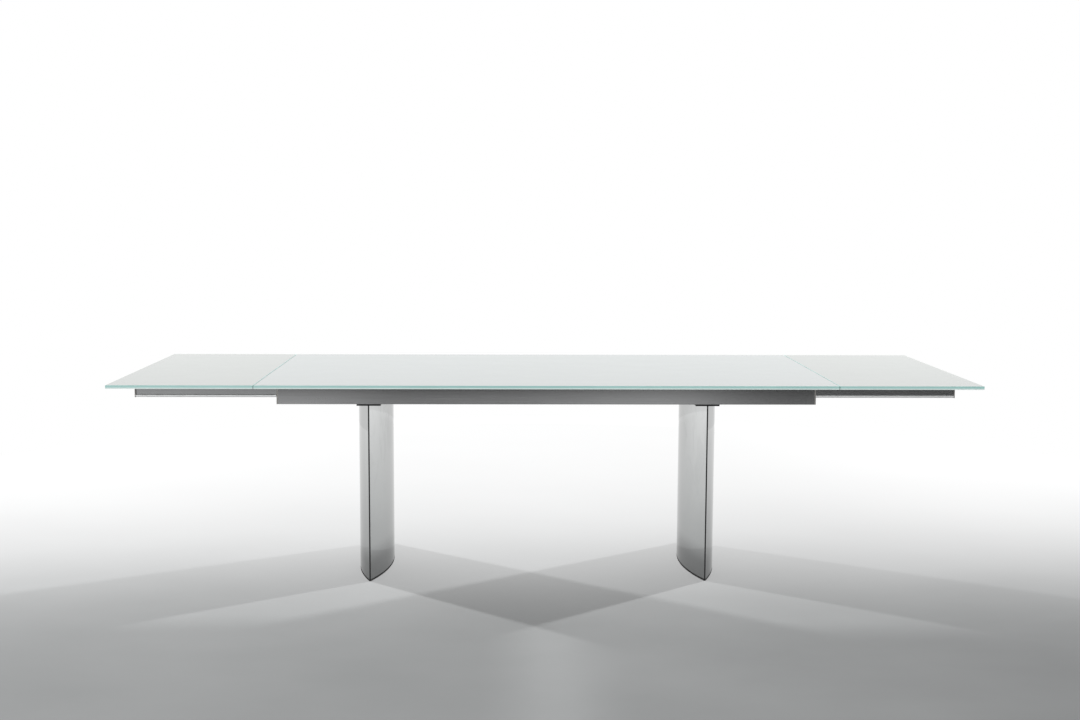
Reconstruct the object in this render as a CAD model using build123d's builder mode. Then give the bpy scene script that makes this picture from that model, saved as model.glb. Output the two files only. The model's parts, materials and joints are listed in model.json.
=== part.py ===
from build123d import *
import math
import os

# Extendable glass dining table, drawn fully extended: a fixed central top on two side beams and two
# lens-shaped legs, and at each end a lift-off leaf lying on a pair of pull-out rails.
# Millimetres, +X along the length, +Y towards the rear, +Z up. The origin is on the floor, under the
# middle of the top.

# ---- Driving dimensions ----
HEIGHT = 735            # floor to the glass surface
GLASS = 12              # thickness of every pane
TOP_LENGTH = 2000       # central pane
WIDTH = 1000            # all panes
LEAF_LENGTH = 498
SEAM = 2                # gap between the central pane and a leaf
ARRIS = 1               # small bevel along every glass edge

BEAM_LENGTH = 1860      # with its end caps
BEAM_HEIGHT = 57
BEAM_DEPTH = 50
BEAM_INSET = 50         # glass edge to the beam's outer face
BEAM_WALL = 4
CAP = 5                 # beam end cap
PAD = 2                 # soft pads between the beams and the glass

RAIL_REACH = 1415       # middle of the table to a pulled-out rail's end
RAIL_LENGTH = 800       # with its end cap
RAIL_TRAVEL = 485
RAIL_HEIGHT = 28
RAIL_DEPTH = 30
RAIL_WALL = 3
RAIL_CAP = 3
ROD = 10                # diameter of the polished rod along each rail

LEG_SPACING = 1206      # between the legs' centre planes
LEG_SHIFT = -27         # the pair of legs stands this far along X from the middle of the top
LEG_LENGTH = 600        # tip to tip, along Y
LEG_WIDTH = 123
SKIN = 2                # bent sheet of a leg
WEB = 5                 # plate between the two skins, seen as a line at each tip
SHOE = 7                # foot plate of a leg
CORE_HEAD = 28          # box along the top of a leg's core
CORE_HEAD_WIDTH = 85
CORE_HEAD_WALL = 4
CROSSBAR_WIDTH = 80     # between the beams, over each leg
CROSSBAR_HEIGHT = 40
CROSSBAR_WALL = 3
END_BAR = 30            # square tube between the beams near their ends
END_BAR_WALL = 2
PLATE = 6               # end plates of the crossbars

RUN_GAP = 0.3           # between a sliding or rolling piece and what it runs on
PIN_PLAY = 0.05         # radial play of a roller on its pin

# ---- Levels and faces worked out from them ----
GLASS_UNDER = HEIGHT - GLASS
BEAM_TOP = GLASS_UNDER - PAD
BEAM_BOTTOM = BEAM_TOP - BEAM_HEIGHT
BEAM_FLOOR = BEAM_BOTTOM + BEAM_WALL
BEAM_CEILING = BEAM_TOP - BEAM_WALL
BEAM_FACE = -(WIDTH / 2 - BEAM_INSET)           # front beam, outer face
BEAM_INNER_FACE = BEAM_FACE + BEAM_DEPTH
BEAM_END = BEAM_LENGTH / 2 - CAP                # end of the beam's bars, inside the cap
RAIL_TOP = BEAM_CEILING - 2
RAIL_BOTTOM = RAIL_TOP - RAIL_HEIGHT
RAIL_FACE = BEAM_FACE + 11                      # front rail, outer face
RAIL_INNER_FACE = RAIL_FACE + RAIL_DEPTH
RAIL_END = RAIL_REACH - RAIL_CAP
RAIL_TAIL = RAIL_REACH - RAIL_LENGTH
SLOT_BOTTOM = RAIL_BOTTOM - 3                   # slot along the beam's inner side
SLOT_TOP = RAIL_BOTTOM + 19
CROSSBAR_BOTTOM = BEAM_BOTTOM + 1
CROSSBAR_TOP = CROSSBAR_BOTTOM + CROSSBAR_HEIGHT
LEG_TOP = CROSSBAR_BOTTOM - CORE_HEAD           # top edge of the skins
LEG_TIP = LEG_LENGTH / 2
LEG_X = {"left": LEG_SHIFT - LEG_SPACING / 2, "right": LEG_SHIFT + LEG_SPACING / 2}
SIDE = {"left": -1, "right": 1}

os.makedirs("parts", exist_ok=True)


# ---- Small helpers ----
def save(builder, name):
    """Labels a finished piece and writes it as its own file."""
    builder.part.label = name
    export_step(builder.part, f"parts/{name}.step")


def block(x, y, z, mode=Mode.ADD):
    """Rectangular block between two limits along each axis."""
    middle = ((x[0] + x[1]) / 2, (y[0] + y[1]) / 2, (z[0] + z[1]) / 2)
    with Locations(middle):
        Box(abs(x[1] - x[0]), abs(y[1] - y[0]), abs(z[1] - z[0]), mode=mode)


def rod_along_y(x, y, z, radius, mode=Mode.ADD):
    """Round bar along Y, from y[0] to y[1]."""
    with Locations((x, (y[0] + y[1]) / 2, z)):
        Cylinder(radius, abs(y[1] - y[0]), rotation=(90, 0, 0), mode=mode)


def rod_along_z(x, y, z, radius, mode=Mode.ADD):
    """Round bar along Z, from z[0] to z[1]."""
    with Locations((x, y, (z[0] + z[1]) / 2)):
        Cylinder(radius, abs(z[1] - z[0]), mode=mode)


def copy_to_rear():
    """Adds the rear twin of what has been built at the front."""
    mirror(about=Plane.XZ)


def copy_to_both_ends():
    """Adds the left twin of what has been built at the right."""
    mirror(about=Plane.YZ)


# ---- Glass panes ----
def pane(x_low, x_high):
    block((x_low, x_high), (-WIDTH / 2, WIDTH / 2), (GLASS_UNDER, HEIGHT))


with BuildPart() as central_top:
    pane(-TOP_LENGTH / 2, TOP_LENGTH / 2)
    chamfer(central_top.edges(), ARRIS)
save(central_top, "central_top")

LEAF_INNER = TOP_LENGTH / 2 + SEAM
LEAF_OUTER = LEAF_INNER + LEAF_LENGTH
for side, s in SIDE.items():
    with BuildPart() as leaf:
        pane(*sorted((s * LEAF_INNER, s * LEAF_OUTER)))
        chamfer(leaf.edges(), ARRIS)
    save(leaf, f"{side}_leaf")

# ---- Side beams: welded from flat bars, closed outside, with a slot along the inner side ----
BEAM_ROUND = 1                                   # outer long edges
MOUTH_X = BEAM_END - 13                          # axis of the rollers at the beam's mouth
MOUTH_RADIUS = 9
MOUTH_Z = RAIL_BOTTOM - RUN_GAP - MOUTH_RADIUS
PIN_RADIUS = 3
ROLLER_CHAMFER = 1
PIN_SEAT = 2                                     # depth of the blind seat in the outer wall
SCREW_RADIUS = 3
SCREW_PLAY = 0.2
SCREW_ROWS = (BEAM_FLOOR + 7, BEAM_CEILING - 4)  # heights of the crossbar screws
LEG_PLATE_WIDTH = 130                            # end plates of the leg crossbars
END_PLATE_WIDTH = 64                             # end plates of the end crossbars
END_BAR_X = BEAM_END - 55                        # middle of an end crossbar
PLATE_MARGIN = 9                                 # screw to the plate's edge


def screw_places(x, plate_width):
    """Screws through one end plate, as (x, z)."""
    offset = plate_width / 2 - PLATE_MARGIN
    return [(x + s * offset, z) for s in (-1, 1) for z in SCREW_ROWS]


LEG_BAR_SCREWS = {side: screw_places(x, LEG_PLATE_WIDTH) for side, x in LEG_X.items()}
END_BAR_SCREWS = {side: screw_places(s * END_BAR_X, END_PLATE_WIDTH) for side, s in SIDE.items()}
ALL_SCREWS = sum(list(LEG_BAR_SCREWS.values()) + list(END_BAR_SCREWS.values()), [])


def cut_beam_holes():
    """Seats for the roller pins and threaded holes for the crossbar screws."""
    for x in (-MOUTH_X, MOUTH_X):
        rod_along_y(x, (BEAM_FACE + PIN_SEAT, BEAM_INNER_FACE), MOUTH_Z, PIN_RADIUS, Mode.SUBTRACT)
    for x, z in ALL_SCREWS:
        rod_along_y(x, (BEAM_INNER_FACE - BEAM_WALL, BEAM_INNER_FACE), z, SCREW_RADIUS, Mode.SUBTRACT)


def beam_face():
    """Outer plate of the front beam, its two outer long edges rounded."""
    block((-BEAM_END, BEAM_END), (BEAM_FACE, BEAM_FACE + BEAM_WALL), (BEAM_BOTTOM, BEAM_TOP))
    fillet(edges().filter_by(Axis.X).group_by(Axis.Y)[0], BEAM_ROUND)
    cut_beam_holes()


def beam_flanges():
    """Lower and upper bars of the front beam, behind its outer plate."""
    for z in ((BEAM_BOTTOM, BEAM_FLOOR), (BEAM_CEILING, BEAM_TOP)):
        block((-BEAM_END, BEAM_END), (BEAM_FACE + BEAM_WALL, BEAM_INNER_FACE), z)


def beam_lips():
    """Bars on the front beam's inner side, with the slot left between them."""
    for z in ((BEAM_FLOOR, SLOT_BOTTOM), (SLOT_TOP, BEAM_CEILING)):
        block((-BEAM_END, BEAM_END), (BEAM_INNER_FACE - BEAM_WALL, BEAM_INNER_FACE), z)
    cut_beam_holes()


for name, build_bar in (("beam_face", beam_face), ("beam_flanges", beam_flanges), ("beam_lips", beam_lips)):
    with BuildPart() as front_bar:
        build_bar()
    save(front_bar, f"front_{name}")

    with BuildPart() as rear_bar:
        build_bar()
        mirror(about=Plane.XZ, mode=Mode.REPLACE)
    save(rear_bar, f"rear_{name}")

# End caps: plates over the beam's ends, open where the rail and its end bar pass.
WINDOW = 1                                       # clearance round the rail
with BuildPart() as beam_end_caps:
    with BuildSketch(Plane.YZ.offset(BEAM_END)):
        with Locations((BEAM_FACE + BEAM_DEPTH / 2, (BEAM_BOTTOM + BEAM_TOP) / 2)):
            RectangleRounded(BEAM_DEPTH, BEAM_HEIGHT, BEAM_ROUND)
        window_front = BEAM_FACE + BEAM_WALL
        window_rear = RAIL_INNER_FACE + WINDOW
        with Locations(((window_front + window_rear) / 2, (RAIL_BOTTOM + RAIL_TOP) / 2)):
            Rectangle(window_rear - window_front, RAIL_HEIGHT + 2 * WINDOW, mode=Mode.SUBTRACT)
        with Locations((BEAM_INNER_FACE - BEAM_WALL, (SLOT_BOTTOM + SLOT_TOP) / 2)):
            Rectangle(4 * BEAM_WALL, SLOT_TOP - SLOT_BOTTOM, mode=Mode.SUBTRACT)
    extrude(amount=CAP)
    copy_to_rear()
    copy_to_both_ends()
save(beam_end_caps, "beam_end_caps")

# ---- Crossbars: welded steel tubes with an end plate against each beam ----
PLATE_TOP = BEAM_TOP - 2
CROSSBAR_REACH = -BEAM_INNER_FACE - PLATE        # end of the tube, where the plate starts
POST_Y = 350                                     # posts that carry the glass
POST_RADIUS = 15
TOP_DISC_RADIUS = 40
TOP_DISC = 8
TOP_SCREW_RADIUS = 4
LEG_BOLT_RADIUS = 5
LEG_BOLT_HOLE = 5.5
LEG_BOLTS = [(dx, dy) for dx in (-24, 24) for dy in (-260, -100, 100, 260)]
NUT = 8
NUT_WIDTH = 17                                   # across flats
BOLT_SHOWS = 2                                   # bolt end beyond its nut


def crossbar(x, width, height, bottom, wall):
    """Square-cut hollow tube along Y at x."""
    reach = (-CROSSBAR_REACH, CROSSBAR_REACH)
    block((x - width / 2, x + width / 2), reach, (bottom, bottom + height))
    block((x - width / 2 + wall, x + width / 2 - wall), reach, (bottom + wall, bottom + height - wall),
          Mode.SUBTRACT)


for side, x_leg in LEG_X.items():
    with BuildPart() as leg_crossbar:
        crossbar(x_leg, CROSSBAR_WIDTH, CROSSBAR_HEIGHT, CROSSBAR_BOTTOM, CROSSBAR_WALL)
        for dx, dy in LEG_BOLTS:
            rod_along_z(x_leg + dx, dy, (CROSSBAR_BOTTOM, CROSSBAR_TOP), LEG_BOLT_HOLE, Mode.SUBTRACT)
        for s in (-1, 1):
            rod_along_z(x_leg, s * POST_Y, (CROSSBAR_BOTTOM, CROSSBAR_TOP), TOP_SCREW_RADIUS, Mode.SUBTRACT)
    save(leg_crossbar, f"{side}_leg_crossbar")

END_BAR_BOTTOM = BEAM_BOTTOM + 12
for side, s in SIDE.items():
    with BuildPart() as end_crossbar:
        crossbar(s * END_BAR_X, END_BAR, END_BAR, END_BAR_BOTTOM, END_BAR_WALL)
    save(end_crossbar, f"{side}_end_crossbar")

# Plates welded to the ends of every crossbar, with clearance holes for their screws.
PLATES = [(x, LEG_PLATE_WIDTH) for x in LEG_X.values()]
PLATES += [(s * END_BAR_X, END_PLATE_WIDTH) for s in SIDE.values()]
with BuildPart() as crossbar_plates:
    for x, width in PLATES:
        block((x - width / 2, x + width / 2), (-CROSSBAR_REACH - PLATE, -CROSSBAR_REACH),
              (CROSSBAR_BOTTOM, PLATE_TOP))
    for x, z in ALL_SCREWS:
        rod_along_y(x, (-CROSSBAR_REACH - PLATE, -CROSSBAR_REACH), z, SCREW_RADIUS + SCREW_PLAY,
                    Mode.SUBTRACT)
    copy_to_rear()
save(crossbar_plates, "crossbar_plates")

# Screws through the end plates into the beams' lips.
HEAD_RADIUS = 5.5
HEAD = 3
with BuildPart() as crossbar_screws:
    for x, z in ALL_SCREWS:
        rod_along_y(x, (BEAM_INNER_FACE - BEAM_WALL, BEAM_INNER_FACE + PLATE), z, SCREW_RADIUS)
        rod_along_y(x, (BEAM_INNER_FACE + PLATE, BEAM_INNER_FACE + PLATE + HEAD), z, HEAD_RADIUS)
    copy_to_rear()
save(crossbar_screws, "crossbar_screws")

# ---- What carries the central pane: posts and bonded discs over the legs, soft pads on the beams ----
DISC_BOTTOM = GLASS_UNDER - TOP_DISC
TOP_SCREW_BITE = 6                               # how far the screw reaches into the disc
POSTS = [(x, s * POST_Y) for x in LEG_X.values() for s in (-1, 1)]

with BuildPart() as top_posts:
    for x, y in POSTS:
        rod_along_z(x, y, (CROSSBAR_TOP, DISC_BOTTOM), POST_RADIUS)
        rod_along_z(x, y, (CROSSBAR_TOP, DISC_BOTTOM), TOP_SCREW_RADIUS, Mode.SUBTRACT)
save(top_posts, "top_posts")

with BuildPart() as top_discs:
    for x, y in POSTS:
        rod_along_z(x, y, (DISC_BOTTOM, GLASS_UNDER), TOP_DISC_RADIUS)
        rod_along_z(x, y, (DISC_BOTTOM, DISC_BOTTOM + TOP_SCREW_BITE), TOP_SCREW_RADIUS, Mode.SUBTRACT)
save(top_discs, "top_discs")

TOP_SCREW_HEAD = 4
TOP_SCREW_HEAD_RADIUS = 7
with BuildPart() as top_screws:
    for x, y in POSTS:
        rod_along_z(x, y, (CROSSBAR_BOTTOM, DISC_BOTTOM + TOP_SCREW_BITE), TOP_SCREW_RADIUS)
        rod_along_z(x, y, (CROSSBAR_BOTTOM - TOP_SCREW_HEAD, CROSSBAR_BOTTOM), TOP_SCREW_HEAD_RADIUS)
save(top_screws, "top_screws")

PAD_PLACES = (-880, -440, 0, 440, 880)
PAD_LENGTH = 60
PAD_MARGIN = 10                                  # pad's edge to the beam's edge
with BuildPart() as top_pads:
    for x in PAD_PLACES:
        block((x - PAD_LENGTH / 2, x + PAD_LENGTH / 2),
              (BEAM_FACE + PAD_MARGIN, BEAM_INNER_FACE - PAD_MARGIN), (BEAM_TOP, GLASS_UNDER))
    copy_to_rear()
save(top_pads, "top_pads")

# ---- Fixed guides, stops and roller pins inside the beams ----
GUIDE_LENGTH = 40
with BuildPart() as rail_side_guides:
    block((BEAM_END - GUIDE_LENGTH, BEAM_END), (RAIL_INNER_FACE + RUN_GAP, BEAM_INNER_FACE - BEAM_WALL),
          (SLOT_TOP, BEAM_CEILING))
    copy_to_rear()
    copy_to_both_ends()
save(rail_side_guides, "rail_side_guides")

SKID_LENGTH = 24
SKID_START = RAIL_TAIL + 4                       # skid under the rail's tail
SKID_END = SKID_START + SKID_LENGTH
BLOCK_FRONT = RAIL_FACE + 1                      # blocks in the channel, a little narrower than the rail
BLOCK_REAR = RAIL_INNER_FACE - 1
STOP_LENGTH = 20
STOP_TOP = RAIL_BOTTOM - 3
with BuildPart() as rail_stops:
    out_stop = SKID_END + RUN_GAP
    in_stop = SKID_START - RAIL_TRAVEL - RUN_GAP
    block((out_stop, out_stop + STOP_LENGTH), (BLOCK_FRONT, BLOCK_REAR), (BEAM_FLOOR, STOP_TOP))
    block((in_stop - STOP_LENGTH, in_stop), (BLOCK_FRONT, BLOCK_REAR), (BEAM_FLOOR, STOP_TOP))
    copy_to_rear()
    copy_to_both_ends()
save(rail_stops, "rail_stops")

PIN_HEAD_RADIUS = 5
with BuildPart() as mouth_roller_pins:
    rod_along_y(MOUTH_X, (BEAM_FACE + PIN_SEAT, BEAM_INNER_FACE), MOUTH_Z, PIN_RADIUS)
    rod_along_y(MOUTH_X, (BEAM_INNER_FACE, BEAM_INNER_FACE + HEAD), MOUTH_Z, PIN_HEAD_RADIUS)
    copy_to_rear()
    copy_to_both_ends()
save(mouth_roller_pins, "mouth_roller_pins")

for side, s in SIDE.items():
    with BuildPart() as mouth_rollers:
        rod_along_y(s * MOUTH_X, (BLOCK_FRONT, BLOCK_REAR), MOUTH_Z, MOUTH_RADIUS)
        chamfer(mouth_rollers.edges(), ROLLER_CHAMFER)
        rod_along_y(s * MOUTH_X, (BLOCK_FRONT, BLOCK_REAR), MOUTH_Z, PIN_RADIUS + PIN_PLAY, Mode.SUBTRACT)
        copy_to_rear()
    save(mouth_rollers, f"{side}_mouth_rollers")

# ---- Pull-out rails ----
ROD_SEAT = 4                                     # how far the rod sits back into the rail's corner
ROD_Y = RAIL_FACE + ROD_SEAT - ROD / 2
ROD_Z = RAIL_BOTTOM + ROD / 2
CAVITY_FACE = RAIL_FACE + ROD_SEAT + RAIL_WALL
RAIL_CAP_ROUND = 1
TIE_BAR = 20                                     # bar joining a pair of rails, along X
TIE_BAR_HEIGHT = 16
TIE_BAR_ROUND = 2


def span(s, low, high):
    """Limits along X of something on one side of the table, in rising order."""
    return tuple(sorted((s * low, s * high)))


def rail(s):
    """Front rail: a hollow section with a square seat for the rod along its lower outer edge."""
    x = span(s, RAIL_TAIL, RAIL_END)
    block(x, (RAIL_FACE, RAIL_INNER_FACE), (RAIL_BOTTOM, RAIL_TOP))
    block(x, (RAIL_FACE, RAIL_FACE + ROD_SEAT), (RAIL_BOTTOM, RAIL_BOTTOM + ROD), Mode.SUBTRACT)
    block(x, (CAVITY_FACE, RAIL_INNER_FACE - RAIL_WALL), (RAIL_BOTTOM + RAIL_WALL, RAIL_TOP - RAIL_WALL),
          Mode.SUBTRACT)


for side, s in SIDE.items():
    with BuildPart() as front_rail:
        rail(s)
    save(front_rail, f"{side}_front_rail")

    with BuildPart() as rear_rail:
        rail(s)
        mirror(about=Plane.XZ, mode=Mode.REPLACE)
    save(rear_rail, f"{side}_rear_rail")

    with BuildPart() as running_rods:
        with BuildSketch(Plane.YZ.offset(min(span(s, RAIL_TAIL, RAIL_END)))):
            with Locations((ROD_Y, ROD_Z)):
                Circle(ROD / 2)
        extrude(amount=RAIL_END - RAIL_TAIL)
        copy_to_rear()
    save(running_rods, f"{side}_running_rods")

    with BuildPart() as rail_end_caps:
        block(span(s, RAIL_END, RAIL_REACH), (ROD_Y - ROD / 2, RAIL_INNER_FACE), (RAIL_BOTTOM, RAIL_TOP))
        fillet(rail_end_caps.edges().filter_by(Axis.X), RAIL_CAP_ROUND)
        copy_to_rear()
    save(rail_end_caps, f"{side}_rail_end_caps")

    with BuildPart() as end_bar:
        block(span(s, RAIL_END - TIE_BAR, RAIL_END), (RAIL_INNER_FACE, -RAIL_INNER_FACE),
              (RAIL_BOTTOM, RAIL_BOTTOM + TIE_BAR_HEIGHT))
        fillet(end_bar.edges().filter_by(Axis.Y), TIE_BAR_ROUND)
    save(end_bar, f"{side}_end_bar")

# ---- Tail of each rail: a fork with a roller under the beam's ceiling, and a skid on its floor ----
TAIL_RADIUS = 10
TAIL_X = RAIL_TAIL - 22                          # axis of the tail rollers
TAIL_Z = BEAM_CEILING - RUN_GAP - TAIL_RADIUS
CHEEK = 3
FORK_ROOT = 10
FORK_END = TAIL_X - TAIL_RADIUS
FORK_BELOW = 14                                  # fork's lower edge below the roller's axis
FORK_ABOVE = 6
FORK_BOTTOM = TAIL_Z - FORK_BELOW
FORK_TOP = TAIL_Z + FORK_ABOVE
SPIGOT = 28                                      # how far the fork reaches into the rail
SPIGOT_PLAY = 0.1
ROLLER_SIDE_GAP = 1                              # roller to a cheek of its fork
ROLLER_FRONT = BLOCK_FRONT + CHEEK + ROLLER_SIDE_GAP
ROLLER_REAR = BLOCK_REAR - CHEEK - ROLLER_SIDE_GAP

for side, s in SIDE.items():
    with BuildPart() as tail_forks:
        block(span(s, FORK_END, RAIL_TAIL), (BLOCK_FRONT, BLOCK_REAR), (FORK_BOTTOM, FORK_TOP))
        block(span(s, FORK_END, RAIL_TAIL - FORK_ROOT), (BLOCK_FRONT + CHEEK, BLOCK_REAR - CHEEK),
              (FORK_BOTTOM, FORK_TOP), Mode.SUBTRACT)
        block(span(s, RAIL_TAIL, RAIL_TAIL + SPIGOT),
              (CAVITY_FACE + SPIGOT_PLAY, RAIL_INNER_FACE - RAIL_WALL - SPIGOT_PLAY),
              (RAIL_BOTTOM + RAIL_WALL + SPIGOT_PLAY, RAIL_TOP - RAIL_WALL - SPIGOT_PLAY))
        rod_along_y(s * TAIL_X, (BLOCK_FRONT, BLOCK_REAR), TAIL_Z, PIN_RADIUS, Mode.SUBTRACT)
        copy_to_rear()
    save(tail_forks, f"{side}_tail_forks")

    with BuildPart() as tail_pins:
        rod_along_y(s * TAIL_X, (BLOCK_FRONT, BLOCK_REAR), TAIL_Z, PIN_RADIUS)
        copy_to_rear()
    save(tail_pins, f"{side}_tail_pins")

    with BuildPart() as tail_rollers:
        rod_along_y(s * TAIL_X, (ROLLER_FRONT, ROLLER_REAR), TAIL_Z, TAIL_RADIUS)
        chamfer(tail_rollers.edges(), ROLLER_CHAMFER)
        rod_along_y(s * TAIL_X, (ROLLER_FRONT, ROLLER_REAR), TAIL_Z, PIN_RADIUS + PIN_PLAY, Mode.SUBTRACT)
        copy_to_rear()
    save(tail_rollers, f"{side}_tail_rollers")

    with BuildPart() as tail_skids:
        block(span(s, SKID_START, SKID_END), (BLOCK_FRONT + ROD_SEAT, BLOCK_REAR),
              (BEAM_FLOOR + RUN_GAP, RAIL_BOTTOM))
        copy_to_rear()
    save(tail_skids, f"{side}_tail_skids")

# ---- Shoes bonded under each leaf: they lie on the rails and reach down inside them ----
SHOE_LENGTH = 60
SHOE_PLACES = (LEAF_INNER + 60, RAIL_REACH - 70)
GRIP = 1.5                                       # soft facing under each shoe
GRIP_MARGIN_X = 3
GRIP_MARGIN_Y = 2
TAB = 4
TAB_DROP = 11
TAB_FACE = RAIL_INNER_FACE + 1

for side, s in SIDE.items():
    with BuildPart() as leaf_shoes:
        for x in SHOE_PLACES:
            ends = span(s, x - SHOE_LENGTH / 2, x + SHOE_LENGTH / 2)
            block(ends, (RAIL_FACE, TAB_FACE + TAB), (RAIL_TOP + GRIP, GLASS_UNDER))
            block(ends, (TAB_FACE, TAB_FACE + TAB), (RAIL_TOP - TAB_DROP, GLASS_UNDER))
        copy_to_rear()
    save(leaf_shoes, f"{side}_leaf_shoes")

    with BuildPart() as leaf_grips:
        for x in SHOE_PLACES:
            ends = span(s, x - SHOE_LENGTH / 2 + GRIP_MARGIN_X, x + SHOE_LENGTH / 2 - GRIP_MARGIN_X)
            block(ends, (RAIL_FACE + GRIP_MARGIN_Y, RAIL_INNER_FACE - GRIP_MARGIN_Y),
                  (RAIL_TOP, RAIL_TOP + GRIP))
        copy_to_rear()
    save(leaf_grips, f"{side}_leaf_grips")

# ---- Legs: two mirror-bright bent skins on a black steel core, lens-shaped in plan ----
SAGITTA = (LEG_WIDTH - WEB) / 2
SKIN_RADIUS = (LEG_TIP**2 + SAGITTA**2) / (2 * SAGITTA)
SKIN_CENTRE = LEG_WIDTH / 2 - SKIN_RADIUS        # centre of the right skin's arc, from the leg's middle
RIB_LEVELS = (160, 320, 480)
RIB = 4
RIB_PLAY = 0.2
BASE_PLATE = 8
BASE_TIP = 288                                   # half length of the base plate
PLATE_RADIUS = SKIN_RADIUS - SKIN - RIB_PLAY
HEAD_LID = CROSSBAR_BOTTOM - CORE_HEAD_WALL      # underside of the core head's upper wall
BOLT_END = HEAD_LID - NUT - BOLT_SHOWS
BOLT_HEAD = 10
BOLT_HEAD_RADIUS = 8
BOLT_SOCKET = 8                                  # across flats


def half_length(radius, x):
    """Half length along Y of an arc about the skin's centre, where it crosses x."""
    return math.sqrt(radius**2 - (x - SKIN_CENTRE)**2)


def skin_outline(radius_out, radius_in):
    """Closed outline between two concentric arcs, cut off square at the web's face."""
    y_out = half_length(radius_out, WEB / 2)
    y_in = half_length(radius_in, WEB / 2)
    with BuildLine() as outline:
        ThreePointArc((WEB / 2, -y_out), (SKIN_CENTRE + radius_out, 0), (WEB / 2, y_out))
        Line((WEB / 2, y_out), (WEB / 2, y_in))
        ThreePointArc((WEB / 2, y_in), (SKIN_CENTRE + radius_in, 0), (WEB / 2, -y_in))
        Line((WEB / 2, -y_in), (WEB / 2, -y_out))
    make_face(outline.edges())


def half_lens_outline(radius):
    """The space between the web and a skin, as a closed outline."""
    tip = half_length(radius, WEB / 2)
    with BuildLine() as outline:
        ThreePointArc((WEB / 2, -tip), (SKIN_CENTRE + radius, 0), (WEB / 2, tip))
        Line((WEB / 2, tip), (WEB / 2, -tip))
    make_face(outline.edges())


def lens_outline(radius, tip):
    """A whole lens with its two tips cut off square at +tip and -tip."""
    x_tip = SKIN_CENTRE + math.sqrt(radius**2 - tip**2)
    with BuildLine() as outline:
        ThreePointArc((x_tip, -tip), (SKIN_CENTRE + radius, 0), (x_tip, tip))
        Line((x_tip, tip), (-x_tip, tip))
        ThreePointArc((-x_tip, tip), (-SKIN_CENTRE - radius, 0), (-x_tip, -tip))
        Line((-x_tip, -tip), (x_tip, -tip))
    make_face(outline.edges())


def leg_plane(x_leg, z, s=1):
    """Horizontal plane at the leg's middle, turned half a turn for a left-hand piece."""
    return Plane(origin=(x_leg, 0, z), x_dir=(s, 0, 0), z_dir=(0, 0, 1))


for side, x_leg in LEG_X.items():
    for skin, s in (("outer", SIDE[side]), ("inner", -SIDE[side])):
        with BuildPart() as leg_skin:
            with BuildSketch(leg_plane(x_leg, SHOE, s)):
                skin_outline(SKIN_RADIUS, SKIN_RADIUS - SKIN)
            extrude(amount=LEG_TOP - SHOE)
        save(leg_skin, f"{side}_leg_{skin}_skin")

    with BuildPart() as leg_core:
        head_x = (x_leg - CORE_HEAD_WIDTH / 2, x_leg + CORE_HEAD_WIDTH / 2)
        block(head_x, (-LEG_TIP, LEG_TIP), (LEG_TOP, CROSSBAR_BOTTOM))
        block((head_x[0] + CORE_HEAD_WALL, head_x[1] - CORE_HEAD_WALL),
              (-LEG_TIP + CORE_HEAD_WALL, LEG_TIP - CORE_HEAD_WALL),
              (LEG_TOP + CORE_HEAD_WALL, HEAD_LID), Mode.SUBTRACT)
        block((x_leg - WEB / 2, x_leg + WEB / 2), (-LEG_TIP, LEG_TIP), (SHOE + BASE_PLATE, LEG_TOP))
        for s in (-1, 1):
            block((x_leg - WEB / 2, x_leg + WEB / 2), (s * BASE_TIP, s * LEG_TIP), (SHOE, SHOE + BASE_PLATE))
        for dx, dy in LEG_BOLTS:
            rod_along_z(x_leg + dx, dy, (HEAD_LID, CROSSBAR_BOTTOM), LEG_BOLT_HOLE, Mode.SUBTRACT)
    save(leg_core, f"{side}_leg_core")

    with BuildPart() as leg_shoe:
        with BuildSketch(leg_plane(x_leg, 0)):
            lens_outline(SKIN_RADIUS, LEG_TIP)
        extrude(amount=SHOE)
    save(leg_shoe, f"{side}_leg_shoe")

with BuildPart() as leg_ribs:
    for x_leg in LEG_X.values():
        for z in RIB_LEVELS + (LEG_TOP - RIB,):
            for s in (-1, 1):
                with BuildSketch(leg_plane(x_leg, z, s)):
                    half_lens_outline(PLATE_RADIUS)
                extrude(amount=RIB)
save(leg_ribs, "leg_ribs")

with BuildPart() as leg_base_plates:
    for x_leg in LEG_X.values():
        with BuildSketch(leg_plane(x_leg, SHOE)):
            lens_outline(PLATE_RADIUS, BASE_TIP)
        extrude(amount=BASE_PLATE)
save(leg_base_plates, "leg_base_plates")

BOLT_PLACES = [(x_leg + dx, dy) for x_leg in LEG_X.values() for dx, dy in LEG_BOLTS]
with BuildPart() as leg_bolts:
    for x, y in BOLT_PLACES:
        rod_along_z(x, y, (BOLT_END, CROSSBAR_TOP), LEG_BOLT_RADIUS)
        rod_along_z(x, y, (CROSSBAR_TOP, CROSSBAR_TOP + BOLT_HEAD), BOLT_HEAD_RADIUS)
    with BuildSketch(Plane.XY.offset(CROSSBAR_TOP + BOLT_HEAD)):
        with Locations(BOLT_PLACES):
            RegularPolygon(BOLT_SOCKET / 2, 6, major_radius=False)
    extrude(amount=-BOLT_HEAD / 2, mode=Mode.SUBTRACT)
save(leg_bolts, "leg_bolts")

with BuildPart() as leg_nuts:
    with BuildSketch(Plane.XY.offset(HEAD_LID - NUT)):
        with Locations(BOLT_PLACES):
            RegularPolygon(NUT_WIDTH / 2, 6, major_radius=False)
            Circle(LEG_BOLT_RADIUS, mode=Mode.SUBTRACT)
    extrude(amount=NUT)
save(leg_nuts, "leg_nuts")
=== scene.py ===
import json
import math

import bpy
from mathutils import Matrix, Vector


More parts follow.
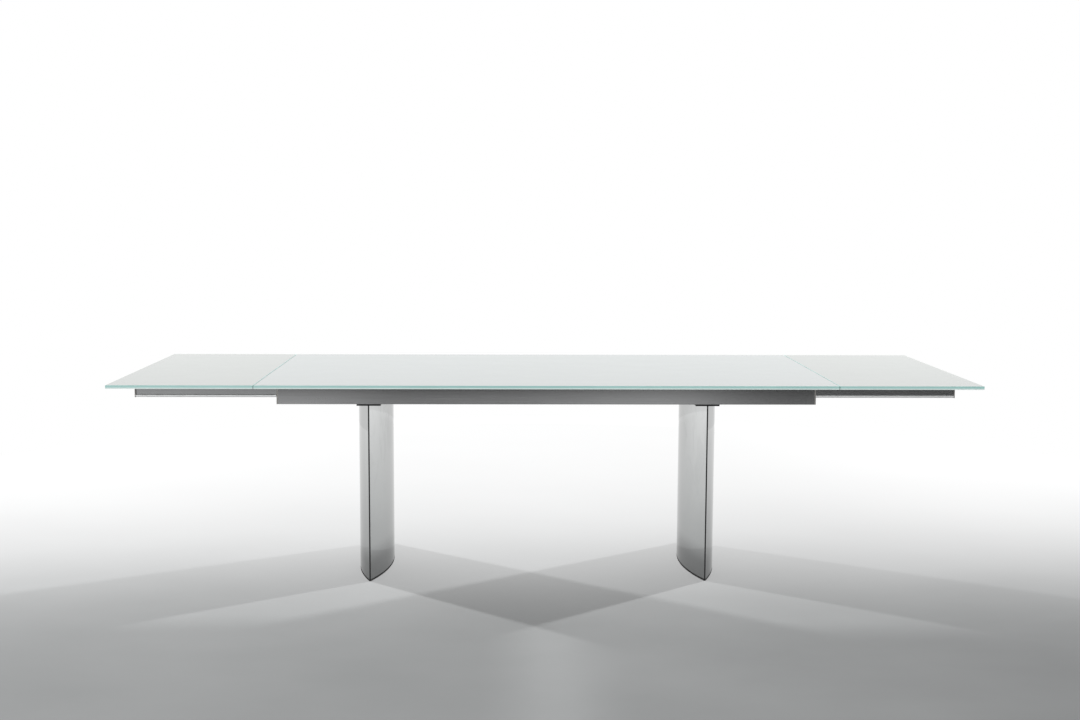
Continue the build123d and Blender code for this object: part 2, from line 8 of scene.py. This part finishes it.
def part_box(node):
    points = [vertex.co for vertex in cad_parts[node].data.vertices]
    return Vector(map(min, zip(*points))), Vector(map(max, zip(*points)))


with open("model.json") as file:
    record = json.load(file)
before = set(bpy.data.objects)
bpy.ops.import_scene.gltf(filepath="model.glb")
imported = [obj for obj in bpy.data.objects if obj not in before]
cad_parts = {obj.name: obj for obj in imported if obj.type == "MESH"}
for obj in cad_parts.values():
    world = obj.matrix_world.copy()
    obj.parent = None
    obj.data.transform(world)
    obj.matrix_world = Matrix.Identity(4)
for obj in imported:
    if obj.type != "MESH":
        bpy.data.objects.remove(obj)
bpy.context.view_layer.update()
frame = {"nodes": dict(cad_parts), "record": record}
nodes = frame["nodes"]

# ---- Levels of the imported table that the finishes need, in metres ----
PANE_LOW, PANE_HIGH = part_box("central_top")
LEAF_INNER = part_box("right_leaf")[0].x
GLASS_UNDER = PANE_LOW.z
GLASS_THICKNESS = PANE_HIGH.z - PANE_LOW.z
BEAM_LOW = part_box("front_beam_face")[0].z
BEAM_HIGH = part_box("front_beam_face")[1].z


# ---- Node-tree helpers ----
class Nodes:
    """Short ways to add nodes to a tree."""

    def __init__(self, tree):
        self.tree = tree
        tree.nodes.clear()

    def node(self, kind, inputs=None, **settings):
        made = self.tree.nodes.new(kind)
        for key, value in settings.items():
            setattr(made, key, value)
        for key, value in (inputs or {}).items():
            self.feed(made.inputs[key], value)
        return made

    def feed(self, socket, value):
        if isinstance(value, bpy.types.NodeSocket):
            self.tree.links.new(value, socket)
        else:
            socket.default_value = value

    def remap(self, value, low, high, to_low=0.0, to_high=1.0, smooth=False):
        inputs = {"Value": value, "From Min": low, "From Max": high, "To Min": to_low, "To Max": to_high}
        kind = "SMOOTHSTEP" if smooth else "LINEAR"
        return self.node("ShaderNodeMapRange", inputs, interpolation_type=kind).outputs["Result"]

    def math(self, operation, a, b=0.0):
        return self.node("ShaderNodeMath", {0: a, 1: b}, operation=operation).outputs[0]

    def between(self, factor, a, b):
        """Number a where factor is 0, b where it is 1."""
        return self.node("ShaderNodeMix", {0: factor, 2: a, 3: b}).outputs[0]

    def mix(self, factor, a, b):
        """Colour a where factor is 0, b where it is 1."""
        return self.node("ShaderNodeMix", {0: factor, 6: a, 7: b}, data_type="RGBA").outputs[2]

    def axis(self, vector, name):
        return self.node("ShaderNodeSeparateXYZ", {"Vector": vector}).outputs[name]


class Finish(Nodes):
    """A procedural material around one Principled shader. Coordinates are the piece's own, in metres."""

    def __init__(self, name, **values):
        self.material = bpy.data.materials.new(name)
        self.material.use_nodes = True
        super().__init__(self.material.node_tree)
        self.shader = self.node("ShaderNodeBsdfPrincipled")
        self.output = self.node("ShaderNodeOutputMaterial")
        self.tree.links.new(self.shader.outputs["BSDF"], self.output.inputs["Surface"])
        self.coordinates = self.node("ShaderNodeTexCoord")
        self.position = self.coordinates.outputs["Object"]
        self.set(**values)

    def set(self, **values):
        """Feeds the shader's sockets, with _ for each space in their names."""
        for key, value in values.items():
            self.feed(self.shader.inputs[key.replace("_", " ")], value)

    def noise(self, scale, detail=3.0, roughness=0.5, distortion=0.0, offset=0.0):
        """Noise from 0 to 1, with scale as features per metre along X, Y and Z."""
        place = self.node("ShaderNodeMapping",
                          {"Vector": self.position, "Scale": scale, "Location": (offset, offset, offset)})
        inputs = {"Vector": place.outputs["Vector"], "Scale": 1.0, "Detail": detail, "Roughness": roughness,
                  "Distortion": distortion}
        return self.node("ShaderNodeTexNoise", inputs).outputs["Fac"]

    def bump(self, height, distance, strength=1.0, below=None):
        inputs = {"Height": height, "Distance": distance, "Strength": strength}
        if below is not None:
            inputs["Normal"] = below
        return self.node("ShaderNodeBump", inputs).outputs["Normal"]


def grey(value):
    return (value, value, value, 1.0)


# ---- Finishes ----
PAINTED_EDGE_GLOW = 0.2          # painted glow: emission standing in for light that the glass carries out through its edges, but not into the seams
BRUSHED_ALONG = 0.25     # turn of the highlight that makes the brushing run along X
SHADED = grey(0.10)
PAINTED_SHADE_FULL_BELOW = 0.055    # height under which the painted shade on the mirror steel is at its darkest
# height from which the painted shade on the mirror steel starts, darkening it towards the floor
PAINTED_SHADE_FROM = 0.14


def painted_glass():
    """Satin glass with white paint under it and polished, green edges with a painted glow and a painted
    reflection.
    """
    made = Finish("white_painted_glass", IOR=1.52)
    normal = made.coordinates.outputs["Normal"]
    facing_up = made.axis(normal, "Z")
    facing_along = made.math("ABSOLUTE", made.axis(normal, "X"))
    edge = made.remap(made.math("ABSOLUTE", facing_up), 0.95, 0.8)
    under = made.remap(facing_up, -0.8, -0.95)
    height = made.axis(made.position, "Z")
    level = made.remap(height, GLASS_UNDER, GLASS_UNDER + GLASS_THICKNESS)
    cloud = made.noise((0.7, 0.9, 1.0), detail=1.0)
    top = made.mix(made.remap(cloud, 0.3, 0.7), (0.63, 0.665, 0.662, 1), (0.65, 0.685, 0.683, 1))
    along = made.math("ABSOLUTE", made.axis(made.position, "X"))
    top = made.mix(made.remap(along, PANE_HIGH.x, LEAF_INNER), top, (0.615, 0.642, 0.625, 1))
    near_seam = made.remap(made.math("ABSOLUTE", made.math("SUBTRACT", along, PANE_HIGH.x)), 0.02, 0.01)
    in_seam = made.math("MULTIPLY", near_seam, facing_along)
    streak = made.noise((9.0, 9.0, 60.0), detail=4.0)
    deep = made.mix(made.remap(streak, 0.3, 0.7), (0.42, 0.66, 0.63, 1), (0.47, 0.71, 0.68, 1))
    pale = made.mix(made.remap(streak, 0.3, 0.7), (0.72, 0.84, 0.82, 1), (0.78, 0.89, 0.87, 1))
    # painted reflection: the edges are painted pale in their lower part, for the white paint seen reflected
    # inside the glass
    upper = made.remap(level, 0.26, 0.42, smooth=True)
    sides = made.mix(upper, pale, deep)
    paint = made.mix(made.remap(made.noise((60, 60, 60), detail=4.0), 0.35, 0.65),
                     (0.60, 0.61, 0.60, 1), (0.66, 0.67, 0.66, 1))
    colour = made.mix(under, made.mix(edge, top, sides), paint)
    smudge = made.remap(made.noise((5.0, 6.5, 5.0), detail=5.0, roughness=0.6), 0.35, 0.75, 0.19, 0.22)
    polished = made.remap(streak, 0.3, 0.7, 0.06, 0.12)
    rough = made.between(under, made.between(edge, smudge, polished), 0.55)
    grain = made.noise((1500, 1500, 1500), detail=1.0)
    # painted glow: the edges emit light, paler lower down, though the glass is no lamp
    painted_glow_colour = made.mix(upper, (0.80, 0.92, 0.90, 1), (0.33, 0.62, 0.59, 1))
    painted_glow_mask = made.math("MULTIPLY", edge, made.math("SUBTRACT", 1.0, in_seam))
    made.set(Base_Color=colour, Roughness=rough, Normal=made.bump(grain, 0.00001, 0.3), Emission_Color=painted_glow_colour,
             Emission_Strength=made.math("MULTIPLY", painted_glow_mask, PAINTED_EDGE_GLOW))
    return made.material


def satin_metal(name, dark, light, rough_low, rough_high, lines, depth=0.00002, anisotropy=0.0, shade=0.0):
    """Metal with fine brushing: lines is the noise scale, stretched along the brushing.

    shade is how far the colour goes to SHADED towards the beams' upper edge, under the overhanging glass.
    """
    made = Finish(name, Metallic=1.0, Anisotropic=anisotropy, Anisotropic_Rotation=BRUSHED_ALONG)
    brushed = made.noise(lines, detail=3.0, roughness=0.65)
    cloud = made.noise((2.1, 5.0, 5.0), detail=3.0, offset=3.0)
    tone = made.math("ADD", made.math("MULTIPLY", brushed, 0.6), made.math("MULTIPLY", cloud, 0.4))
    shaded = made.remap(made.axis(made.position, "Z"), BEAM_LOW, BEAM_HIGH, 0.0, shade, smooth=True)
    colour = made.mix(shaded, made.mix(made.remap(tone, 0.35, 0.65), dark, light), SHADED)
    made.set(Base_Color=colour, Roughness=made.remap(tone, 0.3, 0.7, rough_low, rough_high),
             Normal=made.bump(brushed, depth, 0.6))
    return made.material


def mirror_steel():
    """Polished sheet with slow waves, faint polishing lines and wiped marks; painted reflection and shade by
    height.
    """
    made = Finish("mirror_steel", Metallic=1.0, Specular_Tint=grey(0.72))
    waves = made.noise((3.5, 6.0, 1.6), detail=2.0)
    lines = made.noise((900, 900, 25), detail=2.0)
    wiped = made.noise((14.0, 14.0, 7.0), detail=5.0, roughness=0.62, distortion=0.8)
    marks = made.remap(wiped, 0.5, 0.8)
    height = made.axis(made.position, "Z")
    # painted reflection: the colour is painted lighter higher up the legs, for the brighter surroundings
    # they reflect there
    painted_reflection_rise = made.mix(made.remap(height, 0.2, 0.6), (0.55, 0.56, 0.558, 1), (0.66, 0.67, 0.668, 1))
    wiped_marks_and_painted_rise = made.mix(marks, painted_reflection_rise, (0.55, 0.56, 0.558, 1))
    # painted shade: the lowest part of the legs is painted darker, for the shaded floor that they reflect
    painted_shade_near_floor = made.remap(height, PAINTED_SHADE_FROM, PAINTED_SHADE_FULL_BELOW, smooth=True)
    made.set(Base_Color=made.mix(painted_shade_near_floor, wiped_marks_and_painted_rise, (0.34, 0.346, 0.345, 1)),
             Roughness=made.math("ADD", made.remap(marks, 0.0, 1.0, 0.03, 0.08),
                                 made.remap(lines, 0.3, 0.7, 0.0, 0.02)),
             Normal=made.bump(lines, 0.000002, 0.5, below=made.bump(waves, 0.0005, 0.5)))
    return made.material


def powder_coat():
    """Satin black powder coat on steel, with its orange-peel surface."""
    made = Finish("black_powder_coat", Specular_IOR_Level=0.3)
    peel = made.noise((700, 700, 700), detail=2.0)
    cloud = made.noise((8, 8, 8), detail=4.0)
    made.set(Base_Color=made.mix(made.remap(cloud, 0.3, 0.7), (0.016, 0.016, 0.017, 1),
                                 (0.026, 0.026, 0.027, 1)),
             Roughness=made.remap(peel, 0.3, 0.7, 0.42, 0.55), Normal=made.bump(peel, 0.00005, 0.5))
    return made.material


def rubber(name, dark, light):
    """Moulded black rubber, slightly dusty."""
    made = Finish(name, Specular_IOR_Level=0.3)
    grain = made.noise((1200, 1200, 1200), detail=3.0)
    dust = made.noise((45, 45, 45), detail=5.0, roughness=0.65)
    made.set(Base_Color=made.mix(made.remap(dust, 0.45, 0.8), dark, light),
             Roughness=made.remap(dust, 0.3, 0.8, 0.6, 0.85), Normal=made.bump(grain, 0.00004, 0.5))
    return made.material


def zinc():
    """Zinc-plated screws and pins, with patches of the plating's sheen."""
    made = Finish("zinc_plate", Metallic=1.0)
    patches = made.noise((260, 260, 260), detail=4.0)
    made.set(Base_Color=made.mix(made.remap(patches, 0.3, 0.7), (0.50, 0.50, 0.49, 1),
                                 (0.66, 0.67, 0.69, 1)),
             Roughness=made.remap(patches, 0.3, 0.7, 0.22, 0.42), Normal=made.bump(patches, 0.00003, 0.4))
    return made.material


def nylon():
    """Natural nylon, milky, with faint turning marks and grime."""
    made = Finish("natural_nylon", Subsurface_Weight=0.15, Subsurface_Radius=(0.004, 0.0035, 0.003), IOR=1.5)
    grime = made.noise((90, 90, 90), detail=5.0)
    made.set(Base_Color=made.mix(made.remap(grime, 0.45, 0.75), (0.70, 0.68, 0.62, 1),
                                 (0.56, 0.54, 0.49, 1)),
             Roughness=made.remap(grime, 0.3, 0.7, 0.38, 0.55),
             Normal=made.bump(made.noise((500, 60, 500), detail=2.0), 0.00004, 0.4))
    return made.material


FINISHES = {
    "pane_glass": painted_glass(),
    "beam_metal": satin_metal("satin_aluminium", (0.29, 0.293, 0.296, 1), (0.34, 0.343, 0.346, 1),
                              0.18, 0.24, (4.0, 700.0, 700.0), anisotropy=1.0, shade=0.5),
    "beam_cap": satin_metal("dark_aluminium", (0.30, 0.29, 0.28, 1), (0.40, 0.39, 0.375, 1), 0.35, 0.5,
                            (500.0, 6.0, 500.0)),
    "rail_metal": satin_metal("brushed_steel", (0.25, 0.254, 0.258, 1), (0.31, 0.314, 0.318, 1), 0.17, 0.23,
                              (5.0, 900.0, 900.0), anisotropy=1.0),
    "rod_steel": satin_metal("polished_rod", (0.90, 0.905, 0.91, 1), (0.96, 0.963, 0.966, 1), 0.40, 0.48,
                             (40.0, 900.0, 900.0), 0.00001),
    "leg_mirror": mirror_steel(),
    "black_steel": powder_coat(),
    "black_foot": rubber("foot_rubber", (0.012, 0.012, 0.012, 1), (0.035, 0.034, 0.032, 1)),
    "fastener": zinc(),
    "disc_metal": satin_metal("turned_aluminium", (0.52, 0.52, 0.52, 1), (0.66, 0.66, 0.66, 1), 0.28, 0.42,
                              (300.0, 300.0, 40.0)),
    "nylon": nylon(),
    "soft_pad": rubber("soft_pad", (0.02, 0.02, 0.02, 1), (0.05, 0.05, 0.048, 1)),
}
slot_of = {part["node"]: part["material_slot"] for part in frame["record"]["subparts"]}
for name, piece in nodes.items():
    for material_slot in piece.material_slots:
        material_slot.material = FINISHES[slot_of[name]]


# ---- Floor: grey around the table, fading to the white of the background ----
FLOOR_RADIUS = 3.6
FLOOR_DROP = 0.0003      # floor under the feet, so that the two don't coincide
FLOOR_SIDES = 128
WHITE_FROM = -0.5        # Y where the floor starts to fade to white, towards the rear
WHITE_BEND = 4.0         # how sharply it starts, per metre
WHITE_RATE = 0.275       # how fast it goes on
WHITE_GLOW = 0.96        # emission of the white part
FRONT_WHITE_FROM = -1.7  # Y where it starts to fade to white again, towards the front
FRONT_WHITE_TO = -3.3
FRONT_WHITENESS = 0.85


def floor_whiteness(made, x, y):
    """0 where the floor is grey, 1 where it is the white of the background."""
    away = made.node("ShaderNodeVectorMath", {0: made.position}, operation="LENGTH").outputs["Value"]
    # past is nothing in front of WHITE_FROM, and grows steadily behind it
    bend = made.math("EXPONENT", made.math("MULTIPLY", made.math("SUBTRACT", y, WHITE_FROM), WHITE_BEND))
    past = made.math("LOGARITHM", made.math("ADD", bend, 1.0), math.e)
    behind = made.math("SUBTRACT", 1.0, made.math("EXPONENT", made.math("MULTIPLY", past, -WHITE_RATE)))
    rim = made.remap(away, 0.68 * FLOOR_RADIUS, 0.99 * FLOOR_RADIUS, smooth=True)
    before = made.remap(y, FRONT_WHITE_FROM, FRONT_WHITE_TO, 0.0, FRONT_WHITENESS, smooth=True)
    wide = made.remap(made.math("ABSOLUTE", x), 0.8, 2.2, 0.9, 1.0, smooth=True)
    return made.math("MAXIMUM", made.math("MULTIPLY", behind, wide), made.math("MAXIMUM", rim, before))


def studio_floor():
    """A round floor, white at its rim, behind the table and far in front of it, and clear from below."""
    turns = [math.tau * side / FLOOR_SIDES for side in range(FLOOR_SIDES)]
    ring = [(FLOOR_RADIUS * math.cos(turn), FLOOR_RADIUS * math.sin(turn), -FLOOR_DROP) for turn in turns]
    mesh = bpy.data.meshes.new("studio_floor")
    mesh.from_pydata(ring, [], [tuple(range(FLOOR_SIDES))])
    floor = bpy.data.objects.new("studio_floor", mesh)
    bpy.context.scene.collection.objects.link(floor)
    made = Finish("studio_floor", Specular_IOR_Level=0.0, Roughness=0.9, Emission_Color=grey(1.0))
    x = made.axis(made.position, "X")
    y = made.axis(made.position, "Y")
    white = floor_whiteness(made, x, y)
    cloud = made.remap(made.noise((1.1, 1.6, 1.0), detail=5.0), 0.3, 0.7)
    pale = made.mix(cloud, (0.38, 0.388, 0.39, 1), (0.43, 0.438, 0.44, 1))
    dark = made.mix(cloud, (0.26, 0.265, 0.267, 1), (0.30, 0.306, 0.308, 1))
    # painted shade: the floor is painted darker towards the right, for the light falling off there
    tone = made.mix(made.remap(x, -0.2, 1.7, smooth=True), pale, dark)
    # painted light: emission makes the floor glow white where it fades into the background, most behind the
    # table and at its rim
    made.set(Base_Color=made.mix(white, tone, grey(0.05)),
             Emission_Strength=made.math("MULTIPLY", white, WHITE_GLOW))
    side = made.node("ShaderNodeNewGeometry").outputs["Backfacing"]
    clear = made.node("ShaderNodeBsdfTransparent").outputs[0]
    shown = made.node("ShaderNodeMixShader", {0: side, 1: made.shader.outputs[0], 2: clear}).outputs[0]
    made.feed(made.output.inputs["Surface"], shown)
    mesh.materials.append(made.material)


studio_floor()


# ---- Light ----
# Brightness of the studio in front of the table, low down, by place from left (0) to right (1): a wide
# pale screen, a dark gap, a narrow pale screen, a wide dark gap and the edge of a third screen.
FRONT_SCREENS = ((0.0, 0.7), (0.25, 1.3), (0.35, 0.95), (0.43, 0.15), (0.49, 0.15),
                 (0.62, 1.0), (0.68, 0.07), (0.86, 0.05), (1.0, 0.6))
FRONT_LEVEL = 0.85
SOFT_BOX_LEVEL = 2.0
REAR_LEVEL = 1.0
REAR_LOW_LEVEL = 1.2     # under the horizon
OVERHEAD_LEVEL = 0.66
LAMP_POWER = 520
LAMP_SIZE = 0.3
LAMP_AIM = (0, 0, 0.2)


def front_screens(made, across):
    """The screens' brightness by place across the front."""
    ramp = made.node("ShaderNodeValToRGB", {"Fac": across})
    ramp.color_ramp.interpolation = "EASE"
    stops = ramp.color_ramp.elements
    while len(stops) < len(FRONT_SCREENS):
        stops.new(0.5)
    for stop, (place, brightness) in zip(stops, FRONT_SCREENS):
        stop.position = place
        stop.color = grey(brightness)
    return ramp.outputs["Color"]


def studio_world():
    """Plain white to the camera. As light: bright behind, dimmer overhead, and with screens in front."""
    world = bpy.data.worlds.new("studio")
    world.use_nodes = True
    made = Nodes(world.node_tree)
    direction = made.node("ShaderNodeTexCoord").outputs["Generated"]
    x = made.axis(direction, "X")
    y = made.axis(direction, "Y")
    z = made.axis(direction, "Z")
    ahead = made.math("MAXIMUM", made.math("MULTIPLY", y, -1.0), 0.2)    # towards the viewer's side
    across = made.remap(made.math("DIVIDE", x, ahead), -0.5, 0.5)
    soft_box = made.math("MULTIPLY", made.remap(across, 0.1, 0.25, smooth=True),
                         made.remap(across, 0.72, 0.6, smooth=True))
    front = made.between(soft_box, FRONT_LEVEL, SOFT_BOX_LEVEL)
    rear = made.remap(z, 0.0, -0.05, REAR_LEVEL, REAR_LOW_LEVEL)
    level = made.between(made.remap(y, -0.8, 0.2, smooth=True), front, rear)
    general = made.between(made.remap(z, 0.35, 0.7), level, OVERHEAD_LEVEL)
    low = made.math("MULTIPLY", made.remap(y, -0.5, -0.8), made.remap(z, 0.12, 0.02))
    brightness = made.between(low, general, front_screens(made, across))
    lit = made.node("ShaderNodeBackground", {"Strength": brightness})
    seen = made.node("ShaderNodeBackground", {"Color": grey(1.0)})
    camera_ray = made.node("ShaderNodeLightPath").outputs["Is Camera Ray"]
    both = made.node("ShaderNodeMixShader", {0: camera_ray, 1: lit.outputs[0], 2: seen.outputs[0]})
    made.node("ShaderNodeOutputWorld", {"Surface": both.outputs[0]})
    bpy.context.scene.world = world


def lamp(name, place):
    """A small round lamp that points at the table and isn't seen in reflections."""
    data = bpy.data.lights.new(name, "AREA")
    data.shape = "DISK"
    data.size = LAMP_SIZE
    data.energy = LAMP_POWER
    made = bpy.data.objects.new(name, data)
    made.location = place
    made.rotation_euler = (Vector(LAMP_AIM) - Vector(place)).to_track_quat("-Z", "Y").to_euler()
    made.visible_glossy = False
    bpy.context.scene.collection.objects.link(made)


studio_world()
lamp("rear_left_lamp", (-5.6, 4.4, 2.6))
lamp("rear_right_lamp", (5.6, 4.1, 2.6))


# ---- Camera ----
SENSOR_WIDTH = 36.0      # millimetres, like the focal length
FOCAL = 47.26
VIEW_DEPTH = 200.0
EYE = Vector((-0.1303, -5.2911, 1.3567))
# Radians: YAW turns from +Y towards +X, PITCH tips downward, ROLL turns about the line of sight.
YAW, PITCH, ROLL = 0.0216, 0.11074, 0.00414


def eye_level_camera():
    """A camera in front of the table, a little above its top and left of its middle."""
    forward = Vector((math.sin(YAW) * math.cos(PITCH), math.cos(YAW) * math.cos(PITCH), -math.sin(PITCH)))
    level_right = Vector((math.cos(YAW), -math.sin(YAW), 0.0))
    level_up = level_right.cross(forward)
    right = math.cos(ROLL) * level_right + math.sin(ROLL) * level_up
    up = math.cos(ROLL) * level_up - math.sin(ROLL) * level_right
    data = bpy.data.cameras.new("camera")
    data.lens = FOCAL
    data.sensor_width = SENSOR_WIDTH
    data.clip_end = VIEW_DEPTH
    camera = bpy.data.objects.new("camera", data)
    bpy.context.scene.collection.objects.link(camera)
    camera.matrix_world = Matrix.Translation(EYE) @ Matrix((right, up, -forward)).transposed().to_4x4()
    bpy.context.scene.camera = camera


eye_level_camera()
bpy.context.scene.view_settings.view_transform = "Standard"
